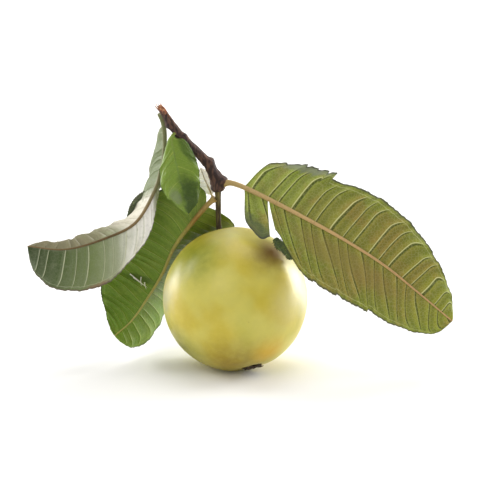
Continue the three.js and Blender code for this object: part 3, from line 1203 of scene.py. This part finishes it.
def back_leaf() -> Leaf:
    """The bright green leaf behind the fruit."""
    finish = LeafFinish(
        name="green_underside",
        under=((0.0, "8f9c46"), (0.25, "7c9830"), (0.7, "6d8c22"), (1.0, "72922c")),
        rim="6c8f25", flush="86983a", vein="a9b45c", hollow="55741a",
        rib=((0.0, "b79a5c"), (0.1, "ac8440"), (0.2, "a79c4e"), (1.0, "a8a254")), edge="47552c",
        top="3c5c1c", gloss=0.45, vein_gap_shade=0.35, shadow=0.6,
        # painted shade in the crease across the blade where the torn threads lift
        stains_and_shades=(StainAndShade(0.585, -0.3, 0.03, 0.35, "3c5216", 0.6),))
    upper = Half(30, 0.8, (0.66, 0.6), 0.08, (23, 5, 0), (0, 80, 50), (10, 8, 0), 0.3, 0.25)
    lower = Half(25, 0.95, (0.5, 0.6), 0.14, (56, 0, 0), (14, -2, 0), (0, -6, 0), 0.5, 0.25, 0.3, -0.13)
    fibres = (Fibre((0.575, -0.5), (0.607, -0.24), 0.6), Fibre((0.59, -0.42), (0.626, -0.1), 0.9),
              Fibre((0.575, -0.3), (0.628, -0.22), 0.9), Fibre((0.6, -0.2), (0.638, -0.11), 0.7))
    return Leaf(
        "leaf_back", Slot.BACK_LEAF,
        Spine(((-8.5, 12.6, 70), (-12.5, 13, 66), (-18, 13.5, 59), (-25.5, 14, 48),
               (-30.5, 13.5, 36.5), (-37, 11.5, 26), (-43.5, 8, 17.5), (-50.5, 3, 12.5))),
        0.07, (1.2, 0.5), ((0.2, -0.95, 0.3), (-0.2, -0.93, 0.3), (-0.3, -0.8, 0.5)),
        upper, lower, finish, veins=20, fibres=fibres)


def left_leaf() -> Leaf:
    """The pale leaf on the left, folded along its midrib."""
    finish = LeafFinish(
        name="pale_underside_with_painted_sheen",
        # the near-white band from 0.34 to 0.48 is the pale underside with painted sheen; the dark olive
        # towards the tip is its greener colour with painted shade
        under=((0.0, "7f855c"), (0.26, "8a8f66"), (0.34, "fffaf2"), (0.48, "f4f1e4"), (0.57, "a9ae90"),
               (0.68, "74824e"), (0.84, "3f5022"), (1.0, "2f3d16")),
        rim="8b9270", flush="a9aa88", vein="cdcfab", hollow="7f8569",
        rib=((0.0, "6b7046"), (0.3, "74704a"), (0.4, "8a7550"), (0.6, "5f4c2c"), (1.0, "75603c")),
        edge="5f5240", top="3d4630", flush_share=0.06, rim_share=0.08, vein_gap_shade=0.15, shadow=0.3,
        net_share=0.05,
        stains_and_shades=(StainAndShade(0.9, -0.6, 0.55, 1.5, "6e6746", 0.95, True),
                StainAndShade(0.5, -0.75, 0.03, 0.3, "3b3226", 0.9, True),
                StainAndShade(0.66, 0.98, 0.07, 0.1, "8a6a52"), StainAndShade(0.4, -1.0, 0.09, 0.2, "4b4a35", 0.9),
                # pale grey over the lower half by the white band: painted sheen on the pale underside
                StainAndShade(0.42, -0.6, 0.16, 1.5, "b9b29c", 0.75, True),
                StainAndShade(0.14, -0.5, 0.22, 1.6, "5c6a3a", 0.9, True)))
    upper = Half(18.5, 2.2, (1.5, 0.42), 0.13, LEVEL, (0, 4, 8), (0, 10, 20), 0.35, 0.3, 0.15)
    lower = Half(17.5, 0.9, (0.6, 0.5), 0.1, LEVEL, (35, 57, 56), (15, 20, 20), 0.35, 0.4, 0.3)
    turned = Leaf(
        "leaf_left", Slot.LEFT_LEAF,
        Spine(((-45.2, 16.6, 60.8), (-43.4, 17.3, 64.6), (-40.6, 17.6, 68.4), (-37.4, 16.5, 71.2),
               (-34.8, 15, 72.6))),
        0.0, (0.0, 0.0), (TOWARDS_BACK,) * 3, Half(2.2, 0.9, (0.6, 0.6), 0.05),
        Half(1.2, 0.9, (0.6, 0.6), 0.05), finish, veins=4, grid=(60, 16), thickness=0.3, ragged=0.3)
    return Leaf(
        "leaf_left", Slot.LEFT_LEAF,
        Spine(((-30.8, 9.5, 107.5), (-29.2, 10, 99), (-29.5, 9, 89.5), (-31, 8.5, 82.5), (-33, 7, 76),
               (-41.5, 1.5, 62.5), (-53.5, -2, 57), (-70.5, -3.5, 52.5), (-86.5, 2.5, 52))),
        0.06, (1.1, 0.5), ((-0.3, -0.93, 0.2), (-0.25, -0.9, 0.3), (0, -0.93, 0.35)),
        upper, lower, finish, veins=17, scraps=(turned,))


def small_leaf() -> Leaf:
    """The small fresh leaf in front of the twig, which shows its top."""
    finish = LeafFinish(
        name="fresh_top",
        under=((0.0, "8da057"), (1.0, "7f9350")), rim="5f7f28", flush="7f9350", vein="b7c386",
        hollow="6c8440", rib=((0.0, "7f9440"), (0.5, "55721f"), (1.0, "4a6420")), edge="34481c",
        marked_face=TOP, top="718a2c", top_vein="a9b250", gloss=0.4, vein_gap_shade=0.35, shadow=0.55,
        # the second patch, near the base on the right half, is the twig's painted shadow
        stains_and_shades=(StainAndShade(0.85, -0.4, 0.45, 1.0, "30450f", 0.9), StainAndShade(0.1, -0.8, 0.2, 0.5, "3c5418", 0.7),
                StainAndShade(0.72, 0.55, 0.2, 0.4, "74805a", 0.7)))
    upper = Half(9.8, 1.2, (0.8, 0.6), 0.25, LEVEL, (-20, -15, -10), (-30, -30, -20), 0.25, 0.2)
    lower = Half(9, 0.85, (0.6, 0.7), 0.25, LEVEL, (-15, -10, -10), (-20, -30, -20), 0.25, 0.2)
    return Leaf(
        "leaf_small", Slot.SMALL_LEAF,
        Spine(((-24.3, 8.4, 100), (-26.3, 6, 98.6), (-25.6, 4.8, 93.4), (-24.6, 2.8, 88.5),
               (-22.6, 0.5, 81), (-20.3, -1.5, 74.5), (-19.5, -1, 67.3))),
        0.06, (0.7, 0.3), ((0.1, 0.95, -0.3),) * 3, upper, lower, finish, veins=9, grid=(120, 48),
        thickness=0.32, ragged=0.12)


def young_leaf() -> Leaf:
    """The small cream leaf behind the twig."""
    finish = LeafFinish(
        name="cream_blade",
        under=((0.0, "fffaea"), (1.0, "fffcf0")), rim="fffaea", flush="f6edd0", vein="fffbee",
        hollow="e2d6b0", rib=((0.0, "c8b587"), (1.0, "dccfa6")), edge="c9b98a", top="bdb58a",
        top_vein="d6cfae", subsurface=0.35, rib_shade=0.1)
    upper = Half(3.4, 0.85, (0.6, 0.7), 0.1, LEVEL, (10, 12, 14), LEVEL, 0.15, 0.08)
    return Leaf(
        "young_leaf", Slot.YOUNG_LEAF,
        Spine(((-9.5, 15.7, 69.5), (-11, 16.7, 73), (-12.8, 17.2, 77), (-14.5, 17, 82))),
        0.08, (0.5, 0.25), ((-0.3, -0.9, 0.3),) * 3, upper, replace(upper, width=3.6), finish,
        veins=6, grid=(60, 24),
        thickness=0.28, ragged=0.06)


# ---- the studio ----
@dataclass(frozen=True)
class SoftBox:
    """A rectangular area light, square unless given a height, that is aimed at the object."""

    name: str
    place: Point
    size: float
    power: float
    height: float | None = None


@dataclass
class Studio:
    """A pale floor, soft light all round and the camera."""

    aim: Point = (0.002, 0.0, 0.0555)
    elevation: float = 17.0
    span: float = 0.2
    distance: float = 2.4
    sensor: float = 36.0
    far: float = 50.0
    surround: float = 0.52
    floor_radius: float = 4.0
    boxes: tuple[SoftBox, ...] = (
        SoftBox("key", (-0.7, -1.3, 1.4), 1.0, 8),
        SoftBox("left_rim", (-1.05, 0.6, 0.15), 0.5, 24, 1.2),
        SoftBox("right_rim", (1.05, 0.65, 0.12), 0.6, 30, 1.1),
        SoftBox("top", (0.1, 0.6, 1.6), 1.2, 12),
    )

    def build(self) -> None:
        """Makes the studio."""
        self._world()
        self._floor()
        for box in self.boxes:
            self._light(box)
        self._camera()
        bpy.context.scene.view_settings.view_transform = "Standard"
        log.info("studio: %d lights", len(self.boxes))

    @staticmethod
    def _aimed(way: Vector) -> Euler:
        """The turn of a light or camera that looks a way."""
        return way.to_track_quat("-Z", "Y").to_euler()

    def _world(self) -> None:
        """A white surround."""
        world = bpy.data.worlds.new("surround")
        world.use_nodes = True
        background = world.node_tree.nodes["Background"]
        background.inputs["Color"].default_value = (1, 1, 1, 1)
        background.inputs["Strength"].default_value = self.surround
        bpy.context.scene.world = world

    def _floor(self) -> None:
        """A pale round floor."""
        bm = bmesh.new()
        bmesh.ops.create_circle(bm, cap_ends=True, segments=96, radius=self.floor_radius)
        mesh = bpy.data.meshes.new("floor")
        bm.to_mesh(mesh)
        bm.free()
        board = Board("floor_paper")
        board.set(Base_Color="f4f3f1", Roughness=0.85)
        mesh.materials.append(board.material)
        floor = link("floor", mesh)

    def _light(self, box: SoftBox) -> None:
        """Makes a soft box and aims it at the object."""
        lamp = bpy.data.lights.new(box.name, "AREA")
        lamp.energy = box.power
        lamp.shape = "RECTANGLE"
        lamp.size = box.size
        lamp.size_y = box.height or box.size
        light = link(box.name, lamp)
        light.location = box.place
        light.rotation_euler = self._aimed(Vector(self.aim) - Vector(box.place))

    def _camera(self) -> None:
        """A long lens in front of the object, looking a little down."""
        lens = bpy.data.cameras.new("camera")
        lens.sensor_width = self.sensor
        lens.lens = self.sensor * self.distance / self.span
        lens.clip_end = self.far
        camera = link("camera", lens)
        tilt = math.radians(self.elevation)
        back = Vector((0, -math.cos(tilt), math.sin(tilt)))
        camera.location = Vector(self.aim) + back * self.distance
        camera.rotation_euler = self._aimed(-back)
        bpy.context.scene.camera = camera


def main() -> None:
    """Builds the studio and every piece."""
    logging.basicConfig(level=logging.INFO, format="%(name)s: %(message)s")
    Studio().build()
    fruit = Fruit()
    fruit.build()
    Calyx(fruit).build()
    FruitStalk().build()
    Twig().build()
    for make in (right_leaf, back_leaf, left_leaf, small_leaf, young_leaf):
        make().build()


if __name__ == "__main__":
    main()
